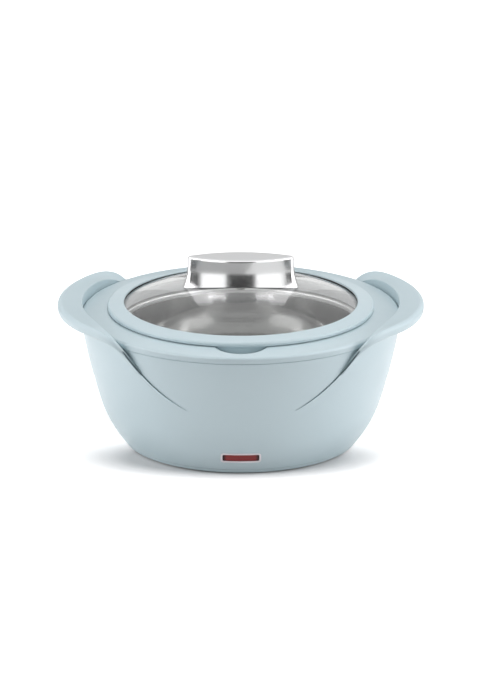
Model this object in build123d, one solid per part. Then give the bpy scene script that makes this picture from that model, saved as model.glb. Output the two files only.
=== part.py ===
"""Electric casserole: a round insulated body with two wing grips, a steel bowl heated from below,
and a lift-off lid with a domed glass and a chrome knob.

Frame: +Z up, the front faces -Y, the grips point along X, the origin is under the middle of the feet.
All sizes are millimetres and all angles degrees.
"""
from build123d import *
from math import cos, hypot, radians, sin, sqrt
import os

# Fits
SEAM = 0.2             # open line between two mouldings that butt together
FIT = 0.3              # side play between pieces that slide into each other
TOUCH = 0.1            # gap left between pieces that are pressed together
BIG = 500.0            # size of cutting blocks, larger than the whole object
DIAGONAL = sqrt(0.5)   # share of a radius at the middle of a quarter round

# Steel bowl: its inside radius at the rim sets all other radii
BOWL_RADIUS = 100.0
BOWL_TAPER_WIDTH = 3.0     # how much narrower the inside is where the wall meets the corner
BOWL_CORNER_RADIUS = 34.0  # between floor and wall, inside
FLANGE_DROP = 5.0          # flange below the shell's rim
FLANGE_WIDTH = 8.6
FLANGE_EDGE_RADIUS = 1.8   # from wall to flange
STEEL_THICKNESS = 0.8
GASKET_THICKNESS = 0.8     # under the flange
JACKET_THICKNESS = 7.0     # insulation blanket round the bowl
JACKET_GAP = 0.5
JACKET_FOOT_HEIGHT = 5.0   # its lower edge over the bowl's floor
JACKET_TOP_DROP = 9.5      # its upper edge below the flange

# Outer shell, from its base edge over the belly to the rim
STAND_HEIGHT = 1.5         # base edge over the table
RIM_WIDTH = 34.3           # from the bowl's inside to the shell's rim
BELLY_INSET = 13.3         # belly's radius less than the rim's
BASE_INSET = 21.7          # base edge's radius less than the belly's
BELLY_HEIGHT = 40.0        # belly over the base edge
RIM_HEIGHT = 67.0          # rim over the belly
LOWER_BULGE = 2.4          # how far the wall bows out of the chord from base edge to belly
UPPER_BULGE = 1.55         # the same from belly to rim
WALL_THICKNESS = 3.0
RIM_BEVEL = 0.9            # on the rim's outer edge, for a shadow line under the collar

# Side leaves: the raised panels that run up the sides into the grips
LEAF_FOOT_HEIGHT = 21.0    # over the belly, where a leaf leaves the wall
LEAF_STEP_DEPTH = 0.4      # how far it stands off the wall at its foot
LEAF_PROUD_DEPTH = 2.2     # the same at the rim
LEAF_BULGE = 0.5
LEAF_TUCK = 0.8            # how far the leaf's edge lies under the shoulder line
GROOVE_WIDTH = 1.2         # shadow groove along the leaf's edge
GROOVE_DEPTH = 0.9         # at the rim, running out to nothing at the leaf's foot

# Grips: the wings at both ends. Seen from the front, one line runs from a grip's flat top over a
# shoulder and a hollow down along the leaf's edge
GRIP_RISE_HEIGHT = 14.9    # flat top over the shell's rim, at the grip's outer edge
GRIP_DISH_DEPTH = 0.8      # how much lower the top face is at its inner edge
GRIP_WIDTH = 20.7          # from the collar's seat to the outermost point
GRIP_ARC_SHIFT = 30.3      # from the middle to the centre of the outer edge's arc, seen from above
SHOULDER_INSET = 5.3       # where the flat top ends, inward of the collar's seat
SHOULDER_RADIUS = 40.0
SHOULDER_ANGLE = 54.0      # steepest fall, between shoulder and hollow
LEAF_FOOT_ANGLE = 25.2     # fall of the line at the leaf's foot
GRIP_EDGE_RADIUS = 3.6
GRIP_BROW_RADIUS = 1.2     # rounding of its inner edge, over the collar
GRIP_BROW_OVERLAP = 0.2    # how far that rounding starts inside the collar's seat
GRIP_END_TUCK = 6.0        # how much further it lies inside the wall at the grip's ends
GRIP_BAND_HEIGHT = 2.6     # upright band between the two roundings of the outer edge
GRIP_UNDER_HEIGHT = 33.0   # how far below the top the underside runs into the wall
GRIP_TAPER_SHARE = 0.6     # part of those heights that is lost at the grip's ends
GRIP_TAPER_POWER = 3.0
GRIP_FADE_ANGLE = 40.0     # from here to its ends a grip draws in to the wall
GRIP_ANGLES = (0.0, 10.0, 20.0, 28.0, 35.0, 39.0, 42.0, 45.0, 48.0, 51.0)  # its sections, from the X axis

# Rim collar
COLLAR_OVERHANG_WIDTH = 0.7  # beyond the shell's rim
COLLAR_EDGE_RADIUS = 2.4
COLLAR_THICKNESS = 2.8
LEDGE_HEIGHT = 5.7         # top face over the shell's rim, at the outer rounding
LEDGE_RISE_HEIGHT = 2.1    # from there to the lid recess
RECESS_EDGE_RADIUS = 1.0
SPIGOT_DEPTH = 5.0         # how deep the collar reaches into the shell
SCOOP_LENGTH = 12.5        # finger scoop: how far it reaches beyond the lid
SCOOP_HALF_WIDTH = 19.5
SCOOP_DEPTH = 5.2          # below the ledge, at the lid's edge

# Lid
LID_OVERLAP_WIDTH = 13.5   # lid ring's radius beyond the bowl's
LID_GAP = 0.6              # shadow gap between the lid ring and the ledge
LID_EDGE_HEIGHT = 4.1      # ring's outer top over the ledge
LID_RISE_HEIGHT = 2.1      # from there up to the ring's lip over the glass
LID_EDGE_RADIUS = 2.2
LIP_INSET = 0.5            # lip's radius less than the bowl's
LIP_STEP_HEIGHT = 2.1      # lip over the glass
LIP_EDGE_RADIUS = 0.8
SKIRT_THICKNESS = 2.4      # ring's downward skirt
DOME_RISE_HEIGHT = 19.0    # glass's crown over its height at the lip
GLASS_THICKNESS = 4.0
GLASS_OVERLAP_WIDTH = 4.0  # glass's radius beyond the bowl's
GASKET_LEG_THICKNESS = 0.6  # rubber round the glass edge
GASKET_SIDE_THICKNESS = 1.2
GASKET_LAP_WIDTH = 3.2     # how far it laps under the glass
SEAL_HEIGHT = 1.5          # rubber lip under the lid, over the bowl's flange
SEAL_GAP = 0.2             # from that lip to the flange, lid closed

# Knob
KNOB_HEIGHT = 22.4         # over the glass's crown
KNOB_HALF_LENGTH = 45.0
KNOB_HALF_DEPTH = 14.1
KNOB_NOSE_RADIUS = 4.5     # its two ends
KNOB_FLARE_WIDTH = 5.0     # how much it widens all round, down to its lowest section
KNOB_FLARE_POWER = 2.6
KNOB_SKIRT_HEIGHT = 5.4    # lowest section, below the glass's crown
KNOB_SECTIONS = 6
KNOB_THICKNESS = 2.2
KNOB_EDGE_RADIUS = 2.0
KNOB_GAP = 0.3             # to the glass
INSERT_HEIGHT = 7.6        # core over the glass's crown
INSERT_BOSS_RADIUS = 4.5
INSERT_BOSS_GAP = 3.6      # from the boss's end to the cap
SCREW_RADIUS = 2.0
SCREW_HEAD_RADIUS = 4.0
SCREW_HEAD_HEIGHT = 2.4
SCREW_TIP_GAP = 4.0        # from the screw's tip to the boss's end
SCREW_PLAY = 0.1
GLASS_HOLE_RADIUS = 3.5
WASHER_RADIUS = 8.0
WASHER_THICKNESS = 1.0     # soft washer and steel washer, each

# Base cover, its screws and the feet
COVER_RIM_HEIGHT = 3.0     # visible edge of the cover
COVER_EDGE_RADIUS = 0.8
COVER_THICKNESS = 2.7
PLUG_HEIGHT = 2.2          # ring that centres the cover in the shell
PLUG_THICKNESS = 2.4
BOSS_INSET = 8.3           # circle of the cover's screws, less than the base edge's radius
BOSS_ANGLES = (20.0, 160.0, 200.0, 340.0)
BOSS_RADIUS = 4.5
BOSS_HEIGHT = 14.0
RIB_THICKNESS = 3.0
RIB_LENGTH = 18.0
RIB_GAP = 3.0              # from a rib down to the cover's plug
BASE_SCREW_RADIUS = 1.75
BASE_HEAD_RADIUS = 3.6
BASE_HEAD_HEIGHT = 1.5
BASE_SCREW_LENGTH = 12.0
FOOT_INSET = 17.3          # circle of the feet, less than the base edge's radius
FOOT_ANGLES = {"foot_rear_right": 45.0, "foot_rear_left": 135.0, "foot_front_left": 225.0,
               "foot_front_right": 315.0}
FOOT_RADIUS = 8.0
FOOT_SINK_DEPTH = 1.0      # how deep a foot sits in the cover
FOOT_EDGE_RADIUS = 0.6
FOOT_STEM_RADIUS = 2.4
FOOT_BARB_RADIUS = 3.4
FOOT_BARB_HEIGHT = 1.4

# Heater under the bowl
HEATER_ROOM_HEIGHT = 24.8  # from the cover's plate to the bowl's floor
HEATER_MARGIN = 12.0       # heater's radius beyond the circle of the studs
HEATER_THICKNESS = 2.0
HEATER_HOLE_RADIUS = 10.0
CLAMP_INSET = 2.0          # clamp's radius less than the heater's
CLAMP_THICKNESS = 1.0
BEAD_OFFSET = 13.0         # circle of the pressed stiffening bead, beyond the thermostat's ears
BEAD_HEIGHT = 1.6
STUD_OFFSET = 10.0         # circle of the studs, beyond that of the tabs
STUD_ANGLES = (90.0, 210.0, 330.0)
STUD_RADIUS = 2.0
STUD_LENGTH = 9.0
NUT_WIDTH = 7.0            # across flats
NUT_SIDES = 6
NUT_HEIGHT = 3.2
TAB_OFFSET = 8.0           # circle of the heater's terminals, beyond the bead's
TAB_WIDTH = 6.3
TAB_THICKNESS = 0.8
TAB_LENGTH = 12.0
TAB_GAP = 0.6              # from a tab to the clamp's slot
THERMOSTAT_RADIUS = 8.0
THERMOSTAT_EAR_RADIUS = 13.0
THERMOSTAT_HEIGHT = 10.0
FUSE_RADIUS = 2.2
FUSE_LENGTH = 12.0
FUSE_INSET = 4.0           # from the bead's circle
FUSE_LEAD_RADIUS = 0.6
FUSE_LEAD_LENGTH = 9.0

# Indicator in the front wall
LENS_WIDTH = 31.0
LENS_HEIGHT = 6.8
LENS_CORNER_RADIUS = 1.2
LENS_RISE_HEIGHT = 16.6    # its middle over the base edge
LENS_SINK_DEPTH = 0.5      # below the wall's surface
LENS_LAP_WIDTH = 1.6       # flange behind the wall
LENS_FLANGE_THICKNESS = 1.2
BEZEL_WIDTH = 1.5          # frame round the lens
BEZEL_PROUD_DEPTH = 0.35   # over the wall's surface
BEZEL_SINK_DEPTH = 1.0     # below it
LAMP_RADIUS = 2.4
LAMP_LENGTH = 13.0
LAMP_END_RADIUS = 1.4
LAMP_GAP = 6.0             # lamp's axis behind the lens
LAMP_LEAD_SPACING = 7.2
HOLDER_THICKNESS = 1.4
HOLDER_DEPTH = 12.0

# Mains inlet in the rear wall
INLET_RISE_HEIGHT = 20.5   # its middle over the base edge
INLET_OFFSET = 6.7         # flat floor of its pocket, beyond the base edge's radius
POCKET_WIDTH = 27.0
POCKET_HEIGHT = 17.0
POCKET_CORNER_RADIUS = 3.0
POCKET_THICKNESS = 3.0
PAD_THICKNESS = 3.4        # wall left behind the pocket
INLET_WIDTH = 20.0
INLET_HEIGHT = 12.0
INLET_LENGTH = 20.0
INLET_CORNER_RADIUS = 1.5
INLET_FLANGE_THICKNESS = 2.2
LATCH_WIDTH = 1.2
LATCH_LENGTH = 4.8
LATCH_HEIGHT = 6.0
SOCKET_WIDTH = 16.2
SOCKET_HEIGHT = 8.2
SOCKET_DEPTH = 12.0
PIN_RADIUS = 1.18
PIN_SPACING = 8.6
PIN_LENGTH = 9.5           # from the socket's floor
PIN_TIP_RADIUS = 0.8
PIN_TAIL_LENGTH = 5.0      # behind the housing
PIN_PLAY = 0.07

# Wires
WIRE_RADIUS = 1.3          # over the insulation
WIRE_BEND_RADIUS = 7.0
WIRE_GAP = 0.2             # from a wire's end to its terminal
WIRE_LOOP_LENGTH = 14.0    # short run between two bends
WIRE_LEAD_LENGTH = 21.0    # straight run out of a terminal
WIRE_RUN_LENGTH = 28.0     # long run into a heater tab
WIRE_FAN_LENGTH = 35.0     # where the lamp's leads turn in, behind its holder

# Radii that follow from the sizes above
rim_radius = BOWL_RADIUS + RIM_WIDTH
belly_radius = rim_radius - BELLY_INSET
base_radius = belly_radius - BASE_INSET
collar_radius = rim_radius + COLLAR_OVERHANG_WIDTH
seat_radius = collar_radius + FIT
grip_reach = seat_radius + GRIP_WIDTH
flange_radius = BOWL_RADIUS + FLANGE_WIDTH
recess_radius = flange_radius + 2 * FIT
lid_radius = BOWL_RADIUS + LID_OVERLAP_WIDTH
lip_radius = BOWL_RADIUS - LIP_INSET
glass_radius = BOWL_RADIUS + GLASS_OVERLAP_WIDTH
floor_radius = BOWL_RADIUS - BOWL_TAPER_WIDTH - BOWL_CORNER_RADIUS
bead_radius = THERMOSTAT_EAR_RADIUS + BEAD_OFFSET
tab_circle = bead_radius + TAB_OFFSET
stud_circle = tab_circle + STUD_OFFSET
heater_radius = stud_circle + HEATER_MARGIN
boss_circle = base_radius - BOSS_INSET
foot_circle = base_radius - FOOT_INSET

# Heights that follow
cover_top = STAND_HEIGHT + COVER_RIM_HEIGHT
plate_top = STAND_HEIGHT + COVER_THICKNESS
shell_bottom = cover_top + SEAM
belly_z = STAND_HEIGHT + BELLY_HEIGHT
rim_z = belly_z + RIM_HEIGHT
leaf_z = belly_z + LEAF_FOOT_HEIGHT
grip_top = rim_z + GRIP_RISE_HEIGHT
ledge_outer_z = rim_z + LEDGE_HEIGHT
ledge_inner_z = ledge_outer_z + LEDGE_RISE_HEIGHT
flange_z = rim_z - FLANGE_DROP
seat_z = flange_z - STEEL_THICKNESS - GASKET_THICKNESS
floor_z = plate_top + HEATER_ROOM_HEIGHT
bowl_bottom = floor_z - STEEL_THICKNESS
heater_top = bowl_bottom - TOUCH
heater_bottom = heater_top - HEATER_THICKNESS
clamp_top = heater_bottom - TOUCH
clamp_bottom = clamp_top - CLAMP_THICKNESS
ear_top = clamp_bottom - TOUCH
fuse_y = bead_radius - FUSE_INSET
fuse_z = clamp_bottom - BEAD_HEIGHT - TOUCH - FUSE_RADIUS
lens_z = STAND_HEIGHT + LENS_RISE_HEIGHT
inlet_z = STAND_HEIGHT + INLET_RISE_HEIGHT
inlet_face = base_radius + INLET_OFFSET
inlet_mouth = inlet_face + INLET_FLANGE_THICKNESS
inlet_rear = inlet_face - INLET_LENGTH

# Lid, from its ring up to the knob
lid_bottom = ledge_inner_z + LID_GAP
lid_outer_z = ledge_inner_z + LID_EDGE_HEIGHT
lid_inner_z = lid_outer_z + LID_RISE_HEIGHT
crown_z = lid_inner_z - LIP_STEP_HEIGHT + DOME_RISE_HEIGHT
dome_radius = (lip_radius ** 2 + DOME_RISE_HEIGHT ** 2) / (2 * DOME_RISE_HEIGHT)
dome_center_z = crown_z - dome_radius
seal_bottom = flange_z + SEAL_GAP
seal_top = seal_bottom + SEAL_HEIGHT
skirt_bottom = seal_top + SEAL_GAP
under_glass = -GLASS_THICKNESS - TOUCH / 2
gasket_outer = glass_radius + TOUCH + GASKET_SIDE_THICKNESS
gasket_inner = glass_radius - GASKET_LAP_WIDTH
channel_radius = gasket_outer + TOUCH
skirt_radius = channel_radius + SKIRT_THICKNESS
knob_top = crown_z + KNOB_HEIGHT
knob_foot = crown_z - KNOB_SKIRT_HEIGHT
boss_end = knob_top - KNOB_THICKNESS - INSERT_BOSS_GAP
screw_tip = boss_end - SCREW_TIP_GAP

# Front view of the right-hand shoulder line: its round and its hollow meet at the turn
slope_sin = sin(radians(SHOULDER_ANGLE))
slope_cos = cos(radians(SHOULDER_ANGLE))
shoulder_x = seat_radius - SHOULDER_INSET
round_z = grip_top - SHOULDER_RADIUS
turn_x = shoulder_x - SHOULDER_RADIUS * slope_sin
turn_z = round_z + SHOULDER_RADIUS * slope_cos
hollow_radius = (turn_z - leaf_z) / (cos(radians(LEAF_FOOT_ANGLE)) - slope_cos)
hollow_x = turn_x - hollow_radius * slope_sin
hollow_z = turn_z + hollow_radius * slope_cos


def bow(start, end, bulge):
    """Arc from one profile point to another that bows outward from its chord."""
    chord = hypot(end[0] - start[0], end[1] - start[1])
    out = ((end[1] - start[1]) / chord, -(end[0] - start[0]) / chord)
    middle = ((start[0] + end[0]) / 2 + bulge * out[0], (start[1] + end[1]) / 2 + bulge * out[1])
    return ThreePointArc(start, middle, end)


def bow_radius(start, end, bulge, z):
    """Radius of that arc at height z."""
    chord = hypot(end[0] - start[0], end[1] - start[1])
    out = ((end[1] - start[1]) / chord, -(end[0] - start[0]) / chord)
    curve = (chord / 2) ** 2 / (2 * bulge) + bulge / 2
    center_r = (start[0] + end[0]) / 2 + (bulge - curve) * out[0]
    center_z = (start[1] + end[1]) / 2 + (bulge - curve) * out[1]
    return center_r + sqrt(curve * curve - (z - center_z) ** 2)


def quarter(start, corner, end):
    """Quarter round of a profile that takes the place of a square corner."""
    center = (start[0] + end[0] - corner[0], start[1] + end[1] - corner[1])
    middle = (center[0] + (corner[0] - center[0]) * DIAGONAL, center[1] + (corner[1] - center[1]) * DIAGONAL)
    return ThreePointArc(start, middle, end)


def body_radius(z):
    """Outer radius of the plain body wall at height z."""
    belly = (belly_radius, belly_z)
    if z < belly_z:
        return bow_radius((base_radius, STAND_HEIGHT), belly, LOWER_BULGE, z)
    return bow_radius(belly, (rim_radius, rim_z), UPPER_BULGE, z)


def wall_curve(low, high, inset):
    """The body wall's profile between two heights below the rim, moved inward by inset."""
    spans = [(low, min(high, belly_z)), (max(low, belly_z), high)]
    edges = []
    for bottom, top in spans:
        if top > bottom:
            heights = (bottom, (bottom + top) / 2, top)
            edges.append(ThreePointArc(*[(body_radius(z) - inset, z) for z in heights]))
    return edges


def turned(*edges):
    """Solid turned round Z from the edges of a closed profile of radius and height."""
    return revolve(Plane.XZ * make_face(edges), Axis.Z)


def turned_polygon(*points):
    return turned(*Polyline(*points, close=True).edges())


def body_core(low, high, inset=0.0):
    """Solid of everything inside the body wall, moved inward by inset, between two heights."""
    bottom = (body_radius(low) - inset, low)
    top = (body_radius(high) - inset, high)
    sides = Polyline(top, (0, high), (0, low), bottom).edges()
    return turned(*wall_curve(low, high, inset), *sides)


def polar(radius, angle):
    return Location((radius * cos(radians(angle)), radius * sin(radians(angle)), 0))


def rod(radius, low, high):
    """Upright cylinder between two heights."""
    return Pos(0, 0, (low + high) / 2) * Cylinder(radius, high - low)


def rounded_bar(width, height, corner, near_y, far_y, z):
    """Bar along Y with a rounded rectangular section."""
    section = Plane.XZ.offset(-near_y) * Pos(0, z) * RectangleRounded(width, height, corner)
    return extrude(section, near_y - far_y)


def shoulder_z(x):
    """Height of the shoulder line at a distance from the middle, down to the leaf's foot."""
    if x >= shoulder_x:
        return grip_top
    if x >= turn_x:
        return round_z + sqrt(SHOULDER_RADIUS ** 2 - (shoulder_x - x) ** 2)
    return hollow_z - sqrt(hollow_radius ** 2 - (x - hollow_x) ** 2)


def under_shoulder(lift):
    """Block along Y of everything under the right-hand shoulder line, the line moved upward by lift."""
    upper = SHOULDER_RADIUS + lift
    lower = hollow_radius - lift
    fall = (hollow_z - leaf_z + WALL_THICKNESS) / hollow_radius
    run = sqrt(1 - fall ** 2)
    half = radians(SHOULDER_ANGLE / 2)
    flat = (shoulder_x, round_z + upper)
    crown = (shoulder_x - upper * sin(half), round_z + upper * cos(half))
    turn = (shoulder_x - upper * slope_sin, round_z + upper * slope_cos)
    way = hypot(slope_sin + run, slope_cos + fall)
    dip = (hollow_x + lower * (slope_sin + run) / way, hollow_z - lower * (slope_cos + fall) / way)
    foot = (hollow_x + lower * run, hollow_z - lower * fall)
    edges = [ThreePointArc(flat, crown, turn), ThreePointArc(turn, dip, foot)]
    edges += Polyline(foot, (foot[0], 0), (BIG / 2, 0), (BIG / 2, flat[1]), flat).edges()
    return extrude(Plane.XZ * make_face(edges), BIG / 2, both=True)


def leaf_foot():
    """Profile point where a leaf steps off the wall."""
    return body_radius(leaf_z) + LEAF_STEP_DEPTH, leaf_z


def leaf_radius(z):
    """Outer radius of a leaf at height z, from its foot up."""
    foot = leaf_foot()
    return bow_radius(foot, (rim_radius + LEAF_PROUD_DEPTH, rim_z), LEAF_BULGE, min(z, rim_z))


def leaf():
    """The raised right-hand side panel, up to the rim."""
    foot = leaf_foot()
    rim = (rim_radius + LEAF_PROUD_DEPTH, rim_z)
    inside = foot[0] - WALL_THICKNESS / 2
    rest = Polyline(rim, (inside, rim_z), (inside, leaf_z), foot).edges()
    return turned(bow(foot, rim, LEAF_BULGE), *rest) & under_shoulder(-LEAF_TUCK)


def grip_section(angle):
    """Section of the right-hand grip in an upright plane through the Z axis, at an angle to the X axis."""
    across = cos(radians(angle))
    arc = grip_reach - GRIP_ARC_SHIFT
    reach = GRIP_ARC_SHIFT * across + sqrt(arc ** 2 - (GRIP_ARC_SHIFT * sin(radians(angle))) ** 2)
    fade = max(abs(angle) - GRIP_FADE_ANGLE, 0) / (GRIP_ANGLES[-1] - GRIP_FADE_ANGLE)
    fade = fade * fade * (3 - 2 * fade)
    flush = leaf_radius(shoulder_z(reach * across)) - LEAF_TUCK
    outer = reach + (flush - reach) * fade
    size = 1 - GRIP_TAPER_SHARE * (abs(angle) / GRIP_ANGLES[-1]) ** GRIP_TAPER_POWER
    edge = GRIP_EDGE_RADIUS * size * (1 - fade / 2)
    top_in = shoulder_z(seat_radius * across) - GRIP_DISH_DEPTH
    top_out = shoulder_z(outer * across)
    band_top = top_out - edge
    band_bottom = band_top - GRIP_BAND_HEIGHT * size
    lip_z = band_bottom - edge
    under = top_in - GRIP_UNDER_HEIGHT * size
    root = leaf_radius(under) - WALL_THICKNESS / 2
    inside = root - WALL_THICKNESS
    crest = seat_radius - GRIP_BROW_OVERLAP - GRIP_END_TUCK * fade
    brow_z = top_in - GRIP_BROW_RADIUS
    brow = (crest + GRIP_BROW_RADIUS, top_in)
    bend = outer - edge
    edges = [
        Line((inside, brow_z), (crest, brow_z)),
        quarter((crest, brow_z), (crest, top_in), brow),
        Line(brow, (bend, top_out)),
        quarter((bend, top_out), (outer, top_out), (outer, band_top)),
        Line((outer, band_top), (outer, band_bottom)),
        quarter((outer, band_bottom), (outer, lip_z), (bend, lip_z)),
        quarter((bend, lip_z), (root, lip_z), (root, under)),
        Line((root, under), (inside, under)),
        Line((inside, under), (inside, brow_z)),
    ]
    return Rot(0, 0, angle) * (Plane.XZ * make_face(edges))


def grip():
    """The right-hand wing, lofted from end to end through its sections."""
    angles = [-angle for angle in GRIP_ANGLES[:0:-1]] + list(GRIP_ANGLES)
    return loft([grip_section(angle) for angle in angles])


def groove():
    """Narrow band along the leaf's edge, deepest at the rim."""
    foot = (body_radius(leaf_z), leaf_z)
    rim = (rim_radius - GROOVE_DEPTH, rim_z)
    ring = turned_polygon(foot, rim, (BIG / 2, rim_z), (BIG / 2, leaf_z))
    return ring & (under_shoulder(GROOVE_WIDTH - LEAF_TUCK) - under_shoulder(-LEAF_TUCK))


def lens_bar(extra):
    """Bar along Y through the front wall with the window's outline, made wider and higher by extra."""
    return rounded_bar(LENS_WIDTH + extra, LENS_HEIGHT + extra, LENS_CORNER_RADIUS + extra / 2,
                       -BIG / 2, -base_radius / 2, lens_z)


def outer_shell():
    """One moulding: bowl-shaped wall, leaves, grips, screw bosses and the pocket for the inlet."""
    shell = body_core(shell_bottom, rim_z)
    shell -= turned_polygon((rim_radius - RIM_BEVEL, rim_z), (rim_radius, rim_z - RIM_BEVEL),
                            (rim_radius + RIM_BEVEL, rim_z - RIM_BEVEL), (rim_radius + RIM_BEVEL, rim_z))
    side = leaf() + grip()
    line = groove()
    shell = shell + side + mirror(side, Plane.YZ) - line - mirror(line, Plane.YZ)
    # The hollow inside, and the round seat that the collar drops into
    shell -= body_core(shell_bottom - SEAM, rim_z, WALL_THICKNESS)
    shell -= rod(body_radius(shell_bottom) - WALL_THICKNESS, 0, shell_bottom + SEAM)
    shell -= rod(seat_radius, rim_z, BIG)
    # Screw bosses, each with a rib to the wall
    inside = body_core(shell_bottom, rim_z, WALL_THICKNESS / 2)
    rib_low = plate_top + PLUG_HEIGHT + RIB_GAP
    rib_high = plate_top + BOSS_HEIGHT
    rib = Pos(boss_circle + RIB_LENGTH / 2, 0, (rib_low + rib_high) / 2)
    rib *= Box(RIB_LENGTH, RIB_THICKNESS, rib_high - rib_low)
    for angle in BOSS_ANGLES:
        boss = polar(boss_circle, angle) * rod(BOSS_RADIUS, plate_top + TOUCH, rib_high)
        hole = rod(BASE_SCREW_RADIUS + SCREW_PLAY, 0, plate_top + BASE_SCREW_LENGTH)
        shell += boss + (Rot(0, 0, angle) * rib & inside)
        shell -= polar(boss_circle, angle) * hole
    # Window for the indicator, with a rebate for its frame
    shell -= lens_bar(0)
    shell -= lens_bar(2 * BEZEL_WIDTH + FIT) - body_core(shell_bottom, belly_z, BEZEL_SINK_DEPTH)
    # Thickened pad, pocket and opening for the mains inlet
    pad = rounded_bar(POCKET_WIDTH + 2 * POCKET_THICKNESS, POCKET_HEIGHT + 2 * POCKET_THICKNESS,
                      POCKET_CORNER_RADIUS, inlet_face - PAD_THICKNESS, BIG / 2, inlet_z)
    shell += pad & inside
    shell -= rounded_bar(POCKET_WIDTH, POCKET_HEIGHT, POCKET_CORNER_RADIUS, inlet_face, BIG / 2, inlet_z)
    return shell - rounded_bar(INLET_WIDTH + FIT, INLET_HEIGHT + FIT, INLET_CORNER_RADIUS,
                               inlet_rear, BIG / 2, inlet_z)


def ledge_z(radius):
    """Height of the collar's top face."""
    share = (radius - recess_radius) / (collar_radius - COLLAR_EDGE_RADIUS - recess_radius)
    return ledge_inner_z - LEDGE_RISE_HEIGHT * share


def scoop_ball(extra=0.0):
    """Ball whose cut in the ledge is the finger scoop's outline."""
    reach = lid_radius + SCOOP_LENGTH
    middle = (reach ** 2 - lid_radius ** 2 - SCOOP_HALF_WIDTH ** 2) / (2 * SCOOP_LENGTH)
    flat = reach - middle
    inward = lid_radius - middle
    rise = (flat ** 2 - inward ** 2 - SCOOP_DEPTH ** 2) / (2 * SCOOP_DEPTH)
    return Pos(0, -middle, ledge_z(reach) + rise) * Sphere(hypot(flat, rise) + extra)


def rim_collar():
    """Ring that trims the shell's rim, with the recess for the lid and the seat for the bowl."""
    edge_r = collar_radius - COLLAR_EDGE_RADIUS
    edge_z = ledge_outer_z - COLLAR_EDGE_RADIUS
    spigot_z = rim_z - SPIGOT_DEPTH
    spigot_r = body_radius(spigot_z) - WALL_THICKNESS - FIT
    hole = BOWL_RADIUS + STEEL_THICKNESS + 2 * FIT
    well = recess_radius + COLLAR_THICKNESS
    seat_bottom = seat_z - COLLAR_THICKNESS
    rim_bottom = rim_z + TOUCH
    lip_r = recess_radius + RECESS_EDGE_RADIUS
    lip = (lip_r, ledge_z(lip_r))
    lip_side = (recess_radius, ledge_inner_z - RECESS_EDGE_RADIUS)
    edges = [quarter(lip_side, (recess_radius, ledge_inner_z), lip),
             Line(lip, (edge_r, ledge_outer_z)),
             quarter((edge_r, ledge_outer_z), (collar_radius, ledge_outer_z), (collar_radius, edge_z))]
    edges += Polyline((collar_radius, edge_z), (collar_radius, rim_bottom), (spigot_r, rim_bottom),
                      (spigot_r, spigot_z), (spigot_r - COLLAR_THICKNESS, spigot_z),
                      (spigot_r - COLLAR_THICKNESS, ledge_z(spigot_r) - COLLAR_THICKNESS),
                      (well, ledge_z(well) - COLLAR_THICKNESS), (well, seat_bottom), (hole, seat_bottom),
                      (hole, seat_z), (recess_radius, seat_z), lip_side).edges()
    collar = turned(*edges)
    # Finger scoop at the front: a cup under the ledge, cut open from above
    cup_r = recess_radius + COLLAR_THICKNESS / 2
    under_ledge = turned_polygon((cup_r, seat_z), (edge_r, seat_z), (edge_r, ledge_outer_z),
                                 (cup_r, ledge_z(cup_r)))
    collar += scoop_ball(COLLAR_THICKNESS) & under_ledge
    return collar - (scoop_ball() - rod(cup_r, 0, BIG))


def bowl_line(out):
    """Half profile of the bowl's inside, moved outward by out, from the floor's middle to the flange."""
    wall_r = BOWL_RADIUS - BOWL_TAPER_WIDTH + out
    top_r = BOWL_RADIUS + out
    bottom = floor_z - out
    corner_z = floor_z + BOWL_CORNER_RADIUS
    bend_r = BOWL_RADIUS + FLANGE_EDGE_RADIUS
    bend_z = flange_z - FLANGE_EDGE_RADIUS
    top = flange_z - out
    return [
        Line((0, bottom), (floor_radius, bottom)),
        quarter((floor_radius, bottom), (wall_r, bottom), (wall_r, corner_z)),
        Line((wall_r, corner_z), (top_r, bend_z)),
        quarter((top_r, bend_z), (top_r, top), (bend_r, top)),
        Line((bend_r, top), (flange_radius, top)),
    ]


def stud_places():
    return [polar(stud_circle, angle) for angle in STUD_ANGLES]


def steel_bowl():
    """Spun steel bowl with a flange, and three welded studs for the heater."""
    closing = [Line((0, bowl_bottom), (0, floor_z)),
               Line((flange_radius, flange_z - STEEL_THICKNESS), (flange_radius, flange_z))]
    bowl = turned(*bowl_line(0), *bowl_line(STEEL_THICKNESS), *closing)
    for place in stud_places():
        bowl += place * rod(STUD_RADIUS, bowl_bottom - STUD_LENGTH, bowl_bottom + STEEL_THICKNESS / 2)
    return bowl


def bowl_gasket():
    inner = BOWL_RADIUS + FLANGE_EDGE_RADIUS + FIT
    outer = recess_radius - FIT
    low = seat_z + TOUCH / 2
    high = seat_z + GASKET_THICKNESS - TOUCH / 2
    return turned_polygon((inner, low), (outer, low), (outer, high), (inner, high))


def bowl_mass(out):
    """Solid of the bowl's outline, moved outward by out, up to the flange."""
    sides = bowl_line(out)[:3]
    end = (BOWL_RADIUS + out, flange_z - FLANGE_EDGE_RADIUS)
    return turned(*sides, Line(end, (0, end[1])), Line((0, end[1]), (0, floor_z - out)))


def insulation_jacket():
    """Fibre blanket wrapped round the bowl's wall."""
    near = STEEL_THICKNESS + JACKET_GAP
    blanket = bowl_mass(near + JACKET_THICKNESS) - bowl_mass(near)
    return blanket & rod(BIG / 2, floor_z + JACKET_FOOT_HEIGHT, flange_z - JACKET_TOP_DROP)


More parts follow.
